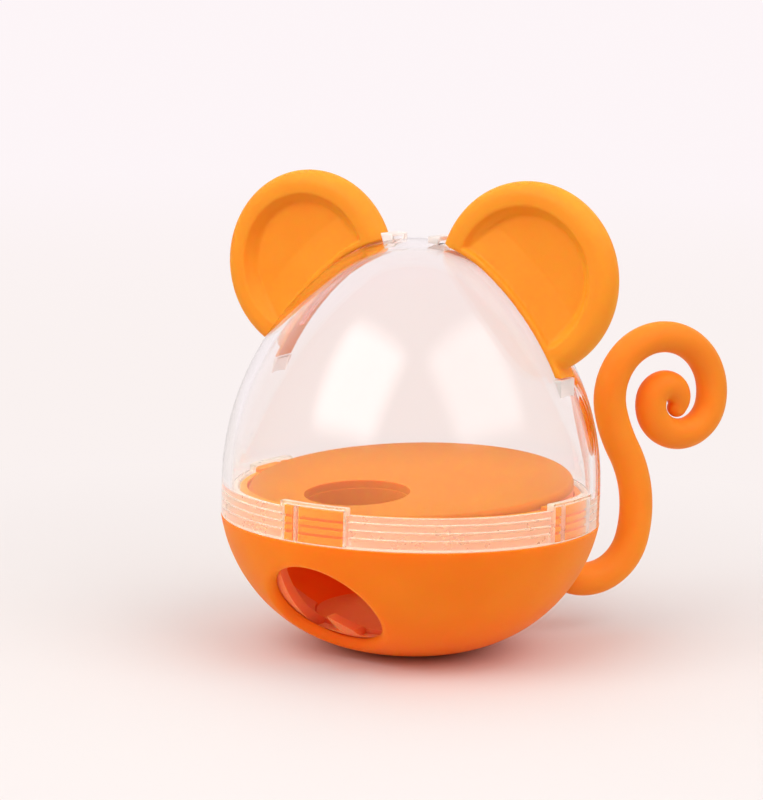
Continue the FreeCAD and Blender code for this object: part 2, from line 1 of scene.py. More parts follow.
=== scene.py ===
import bpy
import json
import math
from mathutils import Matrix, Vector

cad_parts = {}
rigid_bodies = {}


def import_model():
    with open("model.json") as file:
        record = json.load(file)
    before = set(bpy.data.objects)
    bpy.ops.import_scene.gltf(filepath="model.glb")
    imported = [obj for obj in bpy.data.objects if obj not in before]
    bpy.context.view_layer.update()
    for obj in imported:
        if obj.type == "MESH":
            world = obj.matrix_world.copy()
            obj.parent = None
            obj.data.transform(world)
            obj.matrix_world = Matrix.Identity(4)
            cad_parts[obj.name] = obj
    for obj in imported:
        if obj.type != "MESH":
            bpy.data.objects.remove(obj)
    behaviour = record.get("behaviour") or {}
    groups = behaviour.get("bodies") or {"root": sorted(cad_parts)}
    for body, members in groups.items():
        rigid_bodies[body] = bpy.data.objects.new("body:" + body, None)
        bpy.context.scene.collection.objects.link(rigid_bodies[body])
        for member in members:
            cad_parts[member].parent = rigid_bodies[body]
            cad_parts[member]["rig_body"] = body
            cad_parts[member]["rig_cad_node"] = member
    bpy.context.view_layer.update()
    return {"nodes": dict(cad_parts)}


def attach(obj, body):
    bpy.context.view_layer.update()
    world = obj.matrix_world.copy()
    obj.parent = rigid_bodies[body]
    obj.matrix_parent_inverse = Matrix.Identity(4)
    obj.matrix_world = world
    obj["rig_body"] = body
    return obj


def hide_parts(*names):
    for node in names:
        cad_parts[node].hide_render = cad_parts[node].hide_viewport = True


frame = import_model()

mm = 0.001  # the pieces' sizes are in millimetres; camera, stage and lamps are in metres
weldGap = 0.002 * mm  # points closer than this become one
far = 60  # outside the dome, measured from its axis
print("frame loaded:", sorted(frame["nodes"]))

# Camera
cameraSet = {"place": (0.25474, -0.46917, 0.13307), "turn": (81.797, -1.419, 29.464), "lens": 108.48,
             "sensor": 36, "near": 0.01}


def placeCamera():
    bpy.ops.object.camera_add(location=cameraSet["place"])
    camera = bpy.context.object
    camera.name = "photoCamera"
    camera.rotation_euler = [math.radians(angle) for angle in cameraSet["turn"]]
    camera.data.lens = cameraSet["lens"]
    camera.data.sensor_width = cameraSet["sensor"]
    camera.data.clip_start = cameraSet["near"]
    bpy.context.scene.camera = camera
    print("camera placed")


placeCamera()


# Working steps that every piece uses

def clearSelection():
    if bpy.context.object and bpy.context.object.mode != "OBJECT":
        bpy.ops.object.mode_set(mode="OBJECT")
    bpy.ops.object.select_all(action="DESELECT")


def pick(*pieces):
    clearSelection()
    for piece in pieces:
        piece.select_set(True)
    bpy.context.view_layer.objects.active = pieces[0]


def openMesh(action="SELECT"):
    bpy.ops.object.mode_set(mode="EDIT")
    bpy.ops.mesh.select_all(action=action)


def arcSpots(centre, radius, start, end, count):
    spots = []
    for number in range(count + 1):
        angle = start + (end - start) * number / count
        spots.append((centre[0] + radius * math.cos(angle), centre[1] + radius * math.sin(angle)))
    return spots


def traceProfile(name, spots, closed=True):
    # one point is pulled along the profile, edge after edge, in the XZ plane
    clearSelection()
    bpy.ops.mesh.primitive_plane_add(size=mm, location=(0, 0, 0))
    piece = bpy.context.object
    piece.name = name
    piece.data.name = name
    openMesh()
    bpy.ops.mesh.merge(type="CENTER")
    bpy.ops.transform.translate(value=(spots[0][0] * mm, 0, spots[0][1] * mm))
    loop = list(spots) + ([spots[0]] if closed else [])
    for here, there in zip(loop, loop[1:]):
        step = ((there[0] - here[0]) * mm, 0, (there[1] - here[1]) * mm)
        bpy.ops.mesh.extrude_region_move(TRANSFORM_OT_translate={"value": step})
    bpy.ops.mesh.select_all(action="SELECT")
    bpy.ops.mesh.remove_doubles(threshold=weldGap)
    return piece


def closeMesh(piece):
    bpy.ops.mesh.select_all(action="SELECT")
    bpy.ops.mesh.remove_doubles(threshold=weldGap)
    bpy.ops.mesh.normals_make_consistent(inside=False)
    bpy.ops.object.mode_set(mode="OBJECT")
    return piece


def spinRound(piece, steps):
    bpy.ops.mesh.select_all(action="SELECT")
    bpy.ops.mesh.spin(steps=steps, angle=math.radians(360), center=(0, 0, 0), axis=(0, 0, 1))
    return closeMesh(piece)


def applyModifier(piece, kind, **settings):
    pick(piece)
    modifier = piece.modifiers.new(kind.title(), kind)
    for key, value in settings.items():
        setattr(modifier, key, value)
    bpy.ops.object.modifier_apply(modifier=modifier.name)


def combine(piece, tool, operation):
    applyModifier(piece, "BOOLEAN", object=tool, operation=operation, solver="EXACT")
    bpy.data.objects.remove(tool)


def softenEdges(piece, width, segments=2, angle=40):
    applyModifier(piece, "BEVEL", width=width * mm, segments=segments, limit_method="ANGLE",
                  angle_limit=math.radians(angle), use_clamp_overlap=True)


def box(name, low, high):
    clearSelection()
    bpy.ops.mesh.primitive_cube_add(size=1)
    piece = bpy.context.object
    piece.name = name
    piece.scale = [(high[axis] - low[axis]) * mm for axis in range(3)]
    piece.location = [(high[axis] + low[axis]) / 2 * mm for axis in range(3)]
    bpy.ops.object.transform_apply(location=True, rotation=True, scale=True)
    return piece


def joinAll(pieces):
    pick(*pieces)
    bpy.ops.object.join()
    return bpy.context.object


def smoothShade(piece, angle=35):
    pick(piece)
    bpy.ops.object.shade_smooth_by_angle(angle=math.radians(angle))


def dress(piece, name, body, nodes, material, angle=35):
    piece.name = name
    piece.data.name = name
    piece.data.materials.clear()
    piece.data.materials.append(material)
    smoothShade(piece, angle)
    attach(piece, body)
    if nodes:
        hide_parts(*nodes)
    print("piece ready:", name, len(piece.data.polygons), "faces")


# Materials

def newMaterial(name):
    material = bpy.data.materials.new(name)
    material.use_nodes = True
    tree = material.node_tree
    shader = tree.nodes["Principled BSDF"]
    place = tree.nodes.new("ShaderNodeTexCoord")
    return material, tree, shader, place.outputs["Object"]


def noise(tree, place, scale, detail=3.0, roughness=0.5):
    node = tree.nodes.new("ShaderNodeTexNoise")
    node.inputs["Scale"].default_value = scale
    node.inputs["Detail"].default_value = detail
    node.inputs["Roughness"].default_value = roughness
    tree.links.new(place, node.inputs["Vector"])
    return node.outputs["Fac"]


noiseLow = 0.3  # nearly all of a noise texture lies between these two
noiseHigh = 0.7


def remap(tree, value, low, high):
    node = tree.nodes.new("ShaderNodeMapRange")
    node.inputs["From Min"].default_value = noiseLow
    node.inputs["From Max"].default_value = noiseHigh
    node.inputs["To Min"].default_value = low
    node.inputs["To Max"].default_value = high
    tree.links.new(value, node.inputs["Value"])
    return node.outputs["Result"]


def tint(tree, value, first, second):
    node = tree.nodes.new("ShaderNodeMix")
    node.data_type = "RGBA"
    node.inputs[6].default_value = (*first, 1)  # the colour sockets A and B
    node.inputs[7].default_value = (*second, 1)
    tree.links.new(value, node.inputs["Factor"])
    return node.outputs[2]


def smoothStep(tree, value, start, end, low=0.0, high=1.0):
    node = tree.nodes.new("ShaderNodeMapRange")
    node.interpolation_type = "SMOOTHSTEP"
    node.inputs["From Min"].default_value = start
    node.inputs["From Max"].default_value = end
    node.inputs["To Min"].default_value = low
    node.inputs["To Max"].default_value = high
    tree.links.new(value, node.inputs["Value"])
    return node.outputs["Result"]


def joinValues(tree, operation, first, second):
    node = tree.nodes.new("ShaderNodeMath")
    node.operation = operation
    tree.links.new(first, node.inputs[0])
    tree.links.new(second, node.inputs[1])
    return node.outputs["Value"]


def mixShaders(tree, share, first, second):
    node = tree.nodes.new("ShaderNodeMixShader")
    tree.links.new(share, node.inputs["Fac"])
    tree.links.new(first, node.inputs[1])
    tree.links.new(second, node.inputs[2])
    return node.outputs["Shader"]


def bump(tree, shader, height, strength, distance):
    node = tree.nodes.new("ShaderNodeBump")
    node.inputs["Strength"].default_value = strength
    node.inputs["Distance"].default_value = distance
    tree.links.new(height, node.inputs["Height"])
    tree.links.new(node.outputs["Normal"], shader.inputs["Normal"])


mouldedLook = {"grainScale": 2600, "grain": 0.05, "waveScale": 60, "soft": 0.9}
siliconeLook = {"grainScale": 1800, "grain": 0.10, "waveScale": 45, "smooth": 0.50, "rough": 0.62,
                "shine": 0.2}
orangeLook = {
    # the bowl's foot colour is painted shade, deeper and redder low on the bowl
    "bowl": {**mouldedLook, "light": (0.91, 0.230, 0.012), "deep": (0.87, 0.200, 0.009), "smooth": 0.42,
             "rough": 0.52, "shine": 0.07, "softReach": 4.5, "through": (0.76, 0.50, 0.32),
             "foot": (0.93, 0.140, 0.010), "footTop": 17.0},
    "ring": {**mouldedLook, "light": (0.91, 0.300, 0.006), "deep": (0.87, 0.270, 0.004), "smooth": 0.42,
             "rough": 0.52, "shine": 0.12, "softReach": 3.0, "through": (0.86, 0.52, 0.30)},
    # painted light: the inside parts get a paler copy of the orange plastic, with much more blue, so the
    # hollow behind the outlet shows lighter
    "inside": {**mouldedLook, "light": (0.93, 0.225, 0.085), "deep": (0.91, 0.195, 0.070), "smooth": 0.45,
               "rough": 0.60, "shine": 0.06, "softReach": 4.5, "through": (0.76, 0.52, 0.36)},
    # painted shade: the deck gets a darker copy of the orange plastic, so its upward face shows less lit
    "deck": {**mouldedLook, "light": (0.62, 0.190, 0.003), "deep": (0.58, 0.170, 0.002), "smooth": 0.50,
             "rough": 0.60, "shine": 0.10, "softReach": 3.0, "through": (0.82, 0.42, 0.18)},
    "silicone": {**siliconeLook, "light": (0.96, 0.345, 0.020), "deep": (0.93, 0.305, 0.015), "soft": 0.8,
                 "softReach": 2.6, "through": (0.80, 0.30, 0.06)},
    # painted shade: the tail gets a darker, redder copy of the ears' silicone, as it lies in less light
    "tail": {**siliconeLook, "light": (0.90, 0.285, 0.016), "deep": (0.86, 0.250, 0.012), "soft": 0.7,
             "softReach": 3.0, "through": (0.70, 0.20, 0.04)},
}
softSpread = (1.0, 0.20, 0.05)  # red light goes deepest into the orange walls
grainHeight = 0.05 * mm


def letLightThrough(tree, shader, colour):
    # light passes a thin wall on its way to other surfaces, so shadows and hollows take its tint
    through = tree.nodes.new("ShaderNodeBsdfTransparent")
    through.inputs["Color"].default_value = (*colour, 1)
    shadow = tree.nodes.new("ShaderNodeLightPath").outputs["Is Shadow Ray"]
    surface = mixShaders(tree, shadow, shader.outputs["BSDF"], through.outputs["BSDF"])
    tree.links.new(surface, tree.nodes["Material Output"].inputs["Surface"])


def orangeMaterial(name, look):
    material, tree, shader, place = newMaterial(name)
    wave = noise(tree, place, look["waveScale"], detail=2.0)
    colour = tint(tree, remap(tree, wave, 0.0, 1.0), look["light"], look["deep"])
    if "foot" in look:  # painted shade: the colour turns deeper and redder towards the foot
        split = tree.nodes.new("ShaderNodeSeparateXYZ")
        tree.links.new(place, split.inputs["Vector"])
        low = tree.nodes.new("ShaderNodeMapRange")
        low.inputs["From Max"].default_value = look["footTop"] * mm
        tree.links.new(split.outputs["Z"], low.inputs["Value"])
        paintedFootShade = tint(tree, low.outputs["Result"], look["foot"], look["light"])
        tree.links.new(colour, paintedFootShade.node.inputs[7])
        colour = paintedFootShade
    tree.links.new(colour, shader.inputs["Base Color"])
    fine = noise(tree, place, look["grainScale"], detail=2.0, roughness=0.6)
    tree.links.new(remap(tree, fine, look["smooth"], look["rough"]), shader.inputs["Roughness"])
    shader.inputs["Subsurface Weight"].default_value = look["soft"]
    shader.inputs["Subsurface Radius"].default_value = softSpread
    shader.inputs["Subsurface Scale"].default_value = look["softReach"] * mm
    shader.inputs["Specular IOR Level"].default_value = look["shine"]
    bump(tree, shader, fine, look["grain"], grainHeight)
    letLightThrough(tree, shader, look["through"])
    return material


clearLook = {
    "shell": {"colour": (0.985, 0.962, 0.952), "smooth": 0.015, "rough": 0.04, "ior": 1.42, "waveScale": 35,
              "wave": 0.04, "clear": 1.0},
    "ribs": {"colour": (0.93, 0.87, 0.73), "smooth": 0.25, "rough": 0.38, "ior": 1.30, "waveScale": 300,
             "wave": 0.03, "clear": 0.66},
    "fitting": {"colour": (1.0, 0.93, 0.88), "smooth": 0.45, "rough": 0.60, "ior": 1.42, "waveScale": 300,
                "wave": 0.03, "clear": 0.40},
    "frosted": {"colour": (0.98, 0.87, 0.74), "smooth": 0.45, "rough": 0.60, "ior": 1.18, "waveScale": 300,
                "wave": 0.03, "clear": 0.45},
}
clearThrough = (0.93, 0.93, 0.93)
waveHeight = 0.4 * mm


def clearMaterial(name, look):
    material, tree, shader, place = newMaterial(name)
    shader.inputs["Base Color"].default_value = (*look["colour"], 1)
    shader.inputs["Transmission Weight"].default_value = look["clear"]
    shader.inputs["IOR"].default_value = look["ior"]
    wave = noise(tree, place, look["waveScale"], detail=2.0)
    tree.links.new(remap(tree, wave, look["smooth"], look["rough"]), shader.inputs["Roughness"])
    bump(tree, shader, wave, look["wave"], waveHeight)
    letLightThrough(tree, shader, clearThrough)
    return material


steelLook = {"light": (0.56, 0.56, 0.58), "dark": (0.40, 0.40, 0.43), "smooth": 0.28, "rough": 0.42,
             "cloudScale": 300, "grain": 0.1}


def steelMaterial():
    material, tree, shader, place = newMaterial("zincSteel")
    cloud = noise(tree, place, steelLook["cloudScale"], detail=4.0)
    tree.links.new(tint(tree, remap(tree, cloud, 0.0, 1.0), steelLook["light"], steelLook["dark"]),
                   shader.inputs["Base Color"])
    tree.links.new(remap(tree, cloud, steelLook["smooth"], steelLook["rough"]), shader.inputs["Roughness"])
    shader.inputs["Metallic"].default_value = 1.0
    bump(tree, shader, cloud, steelLook["grain"], grainHeight)
    return material


orangePlastic = orangeMaterial("orangePlastic", orangeLook["bowl"])
ringPlastic = orangeMaterial("ringPlastic", orangeLook["ring"])
paintedLightInsidePlastic = orangeMaterial("paintedLightInsidePlastic", orangeLook["inside"])
paintedShadeDeckPlastic = orangeMaterial("paintedShadeDeckPlastic", orangeLook["deck"])
orangeSilicone = orangeMaterial("orangeSilicone", orangeLook["silicone"])
paintedShadeTailSilicone = orangeMaterial("paintedShadeTailSilicone", orangeLook["tail"])
clearPlastic = clearMaterial("clearPlastic", clearLook["shell"])
ribbedPlastic = clearMaterial("ribbedPlastic", clearLook["ribs"])
frostedPlastic = clearMaterial("frostedPlastic", clearLook["frosted"])
fittingPlastic = clearMaterial("fittingPlastic", clearLook["fitting"])
zincSteel = steelMaterial()
print("materials ready")

# Dome
bodyShape = {"radius": 42.5, "seam": 30.1, "height": 62.5, "band": 7.2, "crown": 30.4, "wall": 2.2,
             "gap": 0.1, "steps": 200, "flankSteps": 36, "crownSteps": 18, "lip": 0.4, "lipSteps": 4}
domeTop = bodyShape["seam"] + bodyShape["height"]
bandTop = bodyShape["seam"] + bodyShape["band"]
crownCentre = (0.0, domeTop - bodyShape["crown"])
crownDrop = crownCentre[1] - bandTop
flankRadius = ((bodyShape["radius"] ** 2 + crownDrop ** 2 - bodyShape["crown"] ** 2)
               / (2 * (bodyShape["radius"] - bodyShape["crown"])))
flankCentre = (bodyShape["radius"] - flankRadius, bandTop)
crownAngle = math.atan2(crownDrop, -flankCentre[0])


def domeArc(inset):
    # from the top of the band to the crown, along a surface at a distance inside the outer one
    flank = arcSpots(flankCentre, flankRadius - inset, 0.0, crownAngle, bodyShape["flankSteps"])
    crown = arcSpots(crownCentre, bodyShape["crown"] - inset, crownAngle, math.pi / 2,
                     bodyShape["crownSteps"])
    return flank + crown[1:]


def domeReach(up):
    # radius of the dome's outer surface at a height
    if up <= bandTop:
        return bodyShape["radius"]
    if up < crownCentre[1] + bodyShape["crown"] * math.sin(crownAngle):
        return flankCentre[0] + math.sqrt(flankRadius ** 2 - (up - bandTop) ** 2)
    return math.sqrt(max(bodyShape["crown"] ** 2 - (up - crownCentre[1]) ** 2, 0.0))


def domeSolid(name, inset, low):
    spots = [(0.0, low), (bodyShape["radius"] - inset, low)] + domeArc(inset)
    return spinRound(traceProfile(name, spots), bodyShape["steps"])


collarShape = {"inner": 38.7, "top": bodyShape["seam"] + 7.0, "pitch": 1.65, "grooves": 3, "depth": 0.7,
               "width": 0.45, "edge": 0.25, "root": 0.15, "grooveEdge": 0.08}
pocketShape = {"turn": -92.0, "lugTop": bodyShape["seam"] + 7.5, "lugRadius": 39.9, "lugWidth": 14.2,
               "gap": 0.3, "frame": 0.7, "frameEdge": 0.3, "frameLift": 0.02, "root": 0.6,
               "slotPlace": -4.2, "slotDepth": 1.1, "guideWidth": 0.5, "guideEdge": 0.1, "guideLift": 0.05,
               "guideRise": 0.6}
earShape = {"radius": 21.2, "thick": 7.0, "reach": 27.5, "height": domeTop - 7.3, "lean": 45.0,
            "dishRadius": 16.07, "dishSlope": 2.2, "dishDepth": 2.7,
            "dishLevels": ((-2.7, 0.83), (1.37, 1.73), (2.7, 9.03)), "dishOverlap": 0.05,
            "finThick": 2.0, "finHeight": 2.4, "finHalf": 12.0, "gap": 0.3, "heelHeight": 64.7,
            "heelDepth": 1.7, "crownStart": 4.4, "crownRise": 0.9, "cheekReach": 37.9, "fittingEdge": 0.35,
            "steps": 144, "edgeSteps": 20, "cutSteps": 128, "rimSteps": 72, "crownSteps": 14,
            "flankSteps": 22, "grain": 0.3, "soften": 3, "softenBy": 0.5}


def domeProfile():
    low = bodyShape["seam"] + bodyShape["gap"]
    lip = bodyShape["lip"]
    inner = collarShape["inner"]
    edge = collarShape["edge"]
    root = collarShape["root"]
    grooveEdge = collarShape["grooveEdge"]
    spots = [(inner, low + edge), (inner + edge, low)]
    spots += arcSpots((bodyShape["radius"] - lip, low + lip), lip, -math.pi / 2, 0.0, bodyShape["lipSteps"])
    spots += domeArc(0.0)
    spots += list(reversed(domeArc(bodyShape["wall"])))
    wallFace = bodyShape["radius"] - bodyShape["wall"]
    spots += [(wallFace, collarShape["top"] + root), (wallFace - root, collarShape["top"]),
              (inner + edge, collarShape["top"]), (inner, collarShape["top"] - edge)]
    for number in range(1, collarShape["grooves"] + 1):
        middle = collarShape["top"] - number * collarShape["pitch"]
        half = collarShape["width"] / 2
        deep = inner + collarShape["depth"]
        spots += [(inner, middle + half + grooveEdge), (deep, middle + half - grooveEdge),
                  (deep, middle - half + grooveEdge), (inner, middle - half - grooveEdge)]
    return spots


def ringSectors(name, inner, outer, low, high, width, offset=0.0, edge=0.0):
    # four stretches of a ring, one at each lug, cut out of a full ring by four bars that reach over it
    near = 20
    over = 5
    ring = spinRound(traceProfile(name, [(inner, low), (outer, low), (outer, high), (inner, high)]),
                     bodyShape["steps"])
    bars = []
    for number in range(4):
        bar = box(name + "Bar", (near, offset - width / 2, low - over),
                  (far, offset + width / 2, high + over))
        bar.rotation_euler = (0, 0, math.radians(pocketShape["turn"] + 90 * number))
        pick(bar)
        bpy.ops.object.transform_apply(location=True, rotation=True, scale=True)
        bars.append(bar)
    combine(ring, joinAll(bars), "INTERSECT")
    if edge:
        softenEdges(ring, edge, angle=50)
    return ring


def earRound(name, extra, length):
    # a round bar along Y on the right ear's centre
    clearSelection()
    bpy.ops.mesh.primitive_cylinder_add(vertices=earShape["cutSteps"],
                                        radius=(earShape["radius"] + extra) * mm,
                                        depth=length * mm, rotation=(math.pi / 2, 0, 0),
                                        location=(earShape["reach"] * mm, 0, earShape["height"] * mm))
    piece = bpy.context.object
    piece.name = name
    bpy.ops.object.transform_apply(location=True, rotation=True, scale=True)
    return piece


def finBar(name, extra):
    # the fin's strip square to the dome under the ear, as long and thick as the fin
    half = earShape["finThick"] / 2 + extra
    length = earShape["finHalf"] + extra
    piece = box(name, (-length, -half, -earShape["radius"]), (length, half, far))
    piece.rotation_euler = (0, math.radians(90 - earShape["lean"]), 0)
    piece.location = (earShape["reach"] * mm, 0, earShape["height"] * mm)
    pick(piece)
    bpy.ops.object.transform_apply(location=True, rotation=True, scale=True)
    return piece


def mirrored(piece, name):
    pick(piece)
    bpy.ops.object.duplicate()
    twin = bpy.context.object
    twin.name = name
    twin.scale = (-1, 1, 1)
    bpy.ops.object.transform_apply(location=True, rotation=True, scale=True)
    openMesh()
    bpy.ops.mesh.normals_make_consistent(inside=False)
    bpy.ops.object.mode_set(mode="OBJECT")
    return twin


def domeFittings():
    # a crown block, a cheek block and a fin for each ear
    cutLength = 40
    coreLow = 20
    half = earShape["thick"] / 2
    crownBlock = box("crownBlock", (earShape["crownStart"], -half, earShape["height"]),
                     (earShape["reach"] / 2, half, domeTop + earShape["crownRise"]))
    combine(crownBlock, earRound("crownCut", earShape["gap"], cutLength), "DIFFERENCE")
    cheekBlock = box("cheekBlock", (earShape["reach"], -half, bandTop),
                     (earShape["cheekReach"], half, earShape["heelHeight"] - earShape["gap"]))
    fin = finBar("fin", 0.0)
    combine(fin, domeSolid("finRoom", -earShape["finHeight"], bodyShape["seam"]), "INTERSECT")
    fittings = []
    for piece in (crownBlock, cheekBlock, fin):
        softenEdges(piece, earShape["fittingEdge"], segments=3)
        combine(piece, domeSolid("core", bodyShape["wall"] / 2, coreLow), "DIFFERENCE")
        fittings += [piece, mirrored(piece, piece.name + "Left")]
    return fittings


lookBorders = {"ribInset": 0.3, "lowBand": 0.8, "fittingSide": 0.1, "fittingOut": 0.05}


def shadeDome(shell, low, pocketTop):
    # the ribs, the lower edge and the blocks under the ears have looks of their own, numbered as added
    for material in (ribbedPlastic, frostedPlastic, fittingPlastic):
        shell.data.materials.append(material)
    ribReach = bodyShape["radius"] - bodyShape["wall"] - lookBorders["ribInset"]
    fittingSide = earShape["thick"] / 2 + lookBorders["fittingSide"]
    for face in shell.data.polygons:
        reach = math.hypot(face.center.x, face.center.y) / mm
        up = face.center.z / mm
        onRibs = reach < ribReach and up < pocketTop + 2 * pocketShape["frame"]
        onEdge = up < low + lookBorders["lowBand"]
        besideEars = abs(face.center.y) / mm < fittingSide
        onFitting = besideEars and reach > domeReach(up) + lookBorders["fittingOut"]
        if onEdge:
            face.material_index = 2
        elif onFitting:
            face.material_index = 3
        elif onRibs:
            face.material_index = 1


def makeDome():
    openInward = 2  # the pockets' cutter starts inside the collar and below the dome
    openDown = 3
    shell = spinRound(traceProfile("domeShell", domeProfile()), bodyShape["steps"])
    low = bodyShape["seam"] + bodyShape["gap"]
    inner = collarShape["inner"]
    pocketTop = pocketShape["lugTop"] + pocketShape["gap"]
    pocketWidth = pocketShape["lugWidth"] + 2 * pocketShape["gap"]
    intoWall = bodyShape["radius"] - bodyShape["wall"] + pocketShape["root"]
    frames = ringSectors("pocketFrame", inner, intoWall, low + pocketShape["frameLift"],
                         pocketTop + pocketShape["frame"], pocketWidth + 2 * pocketShape["frame"],
                         edge=pocketShape["frameEdge"])
    combine(shell, frames, "UNION")
    lugRoom = pocketShape["lugRadius"] + pocketShape["gap"]
    pockets = ringSectors("pocketRoom", inner - openInward, lugRoom, low - openDown, pocketTop, pocketWidth)
    combine(shell, pockets, "DIFFERENCE")
    guideReach = pocketShape["lugRadius"] - pocketShape["slotDepth"] + pocketShape["gap"]
    guides = ringSectors("guideRib", guideReach, intoWall, low + pocketShape["guideLift"],
                         pocketTop + pocketShape["guideRise"], pocketShape["guideWidth"],
                         offset=pocketShape["slotPlace"], edge=pocketShape["guideEdge"])
    combine(shell, guides, "UNION")
    for fitting in domeFittings():
        combine(shell, fitting, "UNION")
    dress(shell, "domeShell", "dome_unit", ["dome"], clearPlastic, angle=30)
    shadeDome(shell, low, pocketTop)


makeDome()


# Ears

def crossing(first, firstRadius, second, secondRadius, upper):
    # the upper or the lower of the two points where two circles meet
    across = second[0] - first[0]
    up = second[1] - first[1]
    span = math.hypot(across, up)
    run = (firstRadius ** 2 - secondRadius ** 2 + span ** 2) / (2 * span)
    rise = math.sqrt(firstRadius ** 2 - run ** 2)
    base = (first[0] + run * across / span, first[1] + run * up / span)
    spots = [(base[0] - rise * up / span, base[1] + rise * across / span),
             (base[0] + rise * up / span, base[1] - rise * across / span)]
    return max(spots, key=lambda spot: spot[1]) if upper else min(spots, key=lambda spot: spot[1])


def angleOf(spot, centre):
    return math.atan2(spot[1] - centre[1], spot[0] - centre[0])


def dishOutline(radius, foot):
    # a round in the ear's plane, cut off along the dome at a distance from it
    centre = (earShape["reach"], earShape["height"])
    top = crossing(centre, radius, crownCentre, bodyShape["crown"] + foot, True)
    bottom = crossing(centre, radius, flankCentre, flankRadius + foot, False)
    rim = arcSpots(centre, radius, angleOf(bottom, centre), angleOf(top, centre),
                   earShape["rimSteps"])
    crown = arcSpots(crownCentre, bodyShape["crown"] + foot, angleOf(top, crownCentre), crownAngle,
                     earShape["crownSteps"])
    flank = arcSpots(flankCentre, flankRadius + foot, crownAngle, angleOf(bottom, flankCentre),
                     earShape["flankSteps"])
    return rim + crown[1:] + flank[1:-1]


def dishCutter(upper, lower):
    # each level is a depth under the ear's face and its distance there from the dome
    halfThick = earShape["thick"] / 2
    rings = []
    for level, lift in ((upper, earShape["dishOverlap"]), (lower, 0.0)):
        depth, foot = level
        radius = earShape["dishRadius"] - earShape["dishSlope"] * depth / earShape["dishDepth"]
        ring = traceProfile("dishRing", dishOutline(radius, foot))
        bpy.ops.transform.translate(value=(0, (depth - lift - halfThick) * mm, 0))
        bpy.ops.mesh.edge_face_add()
        bpy.ops.object.mode_set(mode="OBJECT")
        rings.append(ring)
    cutter = joinAll(rings)
    openMesh()
    bpy.ops.mesh.select_mode(type="EDGE")
    bpy.ops.mesh.bridge_edge_loops()
    bpy.ops.mesh.select_mode(type="VERT")
    return closeMesh(cutter)


def makeEars():
    half = earShape["thick"] / 2
    flat = earShape["radius"] - half
    edge = arcSpots((flat, 0.0), half, -math.pi / 2, math.pi / 2, earShape["edgeSteps"])
    spots = [(0.0, -half)] + edge + [(0.0, half)]
    ear = spinRound(traceProfile("ear", spots, closed=False), earShape["steps"])
    ear.rotation_euler = (math.pi / 2, 0, 0)
    ear.location = (earShape["reach"] * mm, 0, earShape["height"] * mm)
    pick(ear)
    bpy.ops.object.transform_apply(location=True, rotation=True, scale=True)
    heel = box("heel", (earShape["reach"], -half, earShape["heelHeight"]),
               (far, half, earShape["height"] - earShape["radius"] / 2))
    combine(heel, domeSolid("heelRoom", -earShape["heelDepth"], bodyShape["seam"]), "INTERSECT")
    combine(ear, heel, "UNION")
    for upper, lower in zip(earShape["dishLevels"], earShape["dishLevels"][1:]):
        combine(ear, dishCutter(upper, lower), "DIFFERENCE")
    combine(ear, domeSolid("earSeat", -earShape["gap"], bodyShape["seam"]), "DIFFERENCE")
    slot = finBar("earSlot", earShape["gap"])
    combine(slot, domeSolid("slotRoom", -earShape["finHeight"] - earShape["gap"], bodyShape["seam"]),
            "INTERSECT")
    combine(ear, slot, "DIFFERENCE")
    # a fine remesh, smoothed a little, rounds all edges as on a soft moulding
    applyModifier(ear, "REMESH", mode="VOXEL", voxel_size=earShape["grain"] * mm)
    applyModifier(ear, "SMOOTH", factor=earShape["softenBy"], iterations=earShape["soften"])
    left = mirrored(ear, "leftEar")
    dress(ear, "rightEar", "right_ear_unit", ["right_ear"], orangeSilicone, angle=80)
    dress(left, "leftEar", "left_ear_unit", ["left_ear"], orangeSilicone, angle=80)


makeEars()

# Tail
# each bend is a radius and a turn in degrees, from the bowl to the tip
tailShape = {"azimuth": 53.5, "radius": 3.65, "tip": 2.3, "rootReach": 36.76, "rootHeight": 16.0,
             "dip": 34.0, "run": 2.75, "plugRadius": 3.0, "plugLength": 8.5, "plugEdge": 0.4,
             "rootGap": 0.3, "rootEdge": 0.25, "rootShrink": 0.93, "sides": 32, "segment": 0.9,
             "tipRings": 10, "swell": 0.24, "swellSteps": 8, "swellDrop": 2.0, "swellTop": 62.0,
             "swellFrom": 40.5, "swellTo": 64.0, "curlCentre": (69.3, 54.3), "curlReach": 12.3,
             "bends": [(12.2, 110.0), (27.7, 44.6), (35.9, -16.4), (13.7, -95.2), (13.85, -107.9),
                       (8.5, -120.0), (7.0, -62.0), (3.7, -195.0)]}


def swellBelow(tail, top, grow):
    # a little more body in the tail's lower part, outside the bowl
    pick(tail)
    openMesh("DESELECT")
    bpy.ops.object.mode_set(mode="OBJECT")
    for spot in tail.data.vertices:
        across, up = spot.co.x / mm, spot.co.z / mm
        inside = tailShape["swellFrom"] < across < tailShape["swellTo"]
        fromCurl = math.hypot(across - tailShape["curlCentre"][0], up - tailShape["curlCentre"][1])
        spot.select = inside and fromCurl > tailShape["curlReach"] and up < top
    bpy.ops.object.mode_set(mode="EDIT")
    bpy.ops.transform.shrink_fatten(value=grow * mm)
    bpy.ops.object.mode_set(mode="OBJECT")


